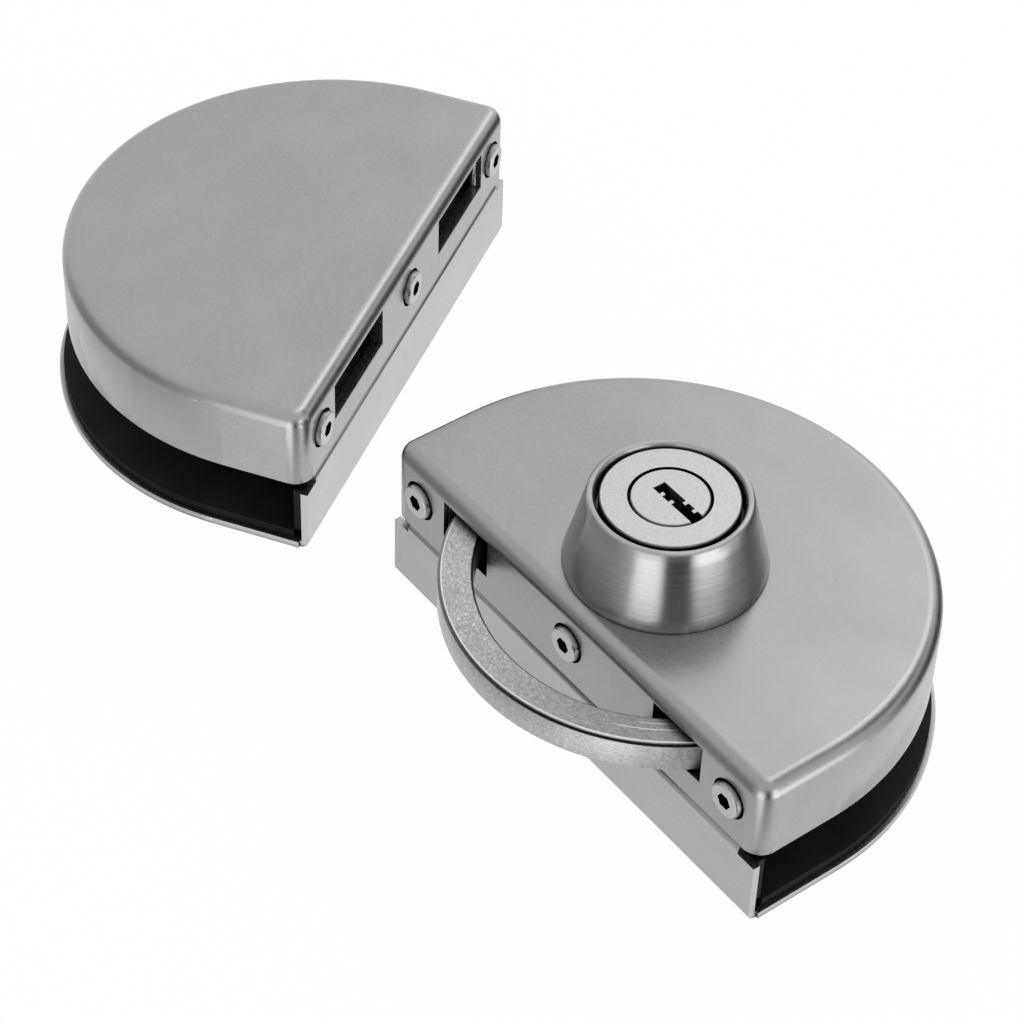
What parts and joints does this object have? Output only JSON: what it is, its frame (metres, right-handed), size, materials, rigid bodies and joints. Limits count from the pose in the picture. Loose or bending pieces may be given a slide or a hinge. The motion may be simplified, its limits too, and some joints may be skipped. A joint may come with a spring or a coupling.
{
  "type": "glass door lock",
  "caption": "Half-moon glass door lock with key cylinder and turning arc bolt, and its matching strike, both clamped on glass edges.",
  "frame": {"origin": "on the cylinder's axis, at the outer face of the lock's back plate", "axes": "+Z square to the glass, out of the keyed face; the lock's flat front looks along -Y; +X along that front"},
  "size_m": [0.2286, 0.1132, 0.0514],
  "materials": {
    "sheet_steel": "satin brushed stainless sheet",
    "turned_steel": "turned stainless, fine rings",
    "plated_brass": "dull nickel plate",
    "bolt_steel": "cast and blasted, grainy",
    "screw_steel": "bright stainless",
    "zinc_plate": "zinc-plated steel",
    "pin_brass": "bright brass",
    "spring_steel": "spring wire",
    "pad_rubber": "matte black sheet rubber",
    "track_plastic": "moulded nylon"
  },
  "bodies": {
    "root": {"lock_cover": "sheet_steel", "lock_back_plate": "sheet_steel", "lock_chassis": "zinc_plate", "lock_back_pad": "pad_rubber", "lock_edge_pad": "pad_rubber", "lock_cover_screws": "screw_steel", "strike_cover": "sheet_steel", "strike_back_plate": "sheet_steel", "strike_chassis": "zinc_plate", "strike_back_pad": "pad_rubber", "strike_edge_pad": "pad_rubber", "strike_cover_screws": "screw_steel", "cylinder_collar": "turned_steel", "cylinder_housing": "plated_brass", "driver_pins": "pin_brass", "pin_springs": "spring_steel", "cylinder_nut": "zinc_plate", "bolt_track": "track_plastic", "arm_stops": "screw_steel"},
    "bolt": {"cylinder_plug": "plated_brass", "key_pins": "pin_brass", "plug_clip": "spring_steel", "drive_arm": "zinc_plate", "arm_screws": "screw_steel", "tail_screw": "screw_steel", "tail_washer": "zinc_plate", "arc_bolt": "bolt_steel"},
    "lock_clamp": {"lock_clamp_plate": "zinc_plate", "lock_clamp_pad": "pad_rubber", "lock_set_screws": "screw_steel"},
    "strike_clamp": {"strike_clamp_plate": "zinc_plate", "strike_clamp_pad": "pad_rubber", "strike_set_screws": "screw_steel"}
  },
  "joints": [
    {"name": "bolt_turn", "type": "hinge", "parent": "root", "child": "bolt", "pos_m": [0, 0, 0.0275], "axis": [0, 0, 1], "range_deg": [0, 180]},
    {"name": "lock_clamp_slide", "type": "slide", "parent": "root", "child": "lock_clamp", "axis": [0, 0, -1], "range_m": [0, 0.002]},
    {"name": "strike_clamp_slide", "type": "slide", "parent": "root", "child": "strike_clamp", "axis": [0, 0, -1], "range_m": [0, 0.002]}
  ]
}
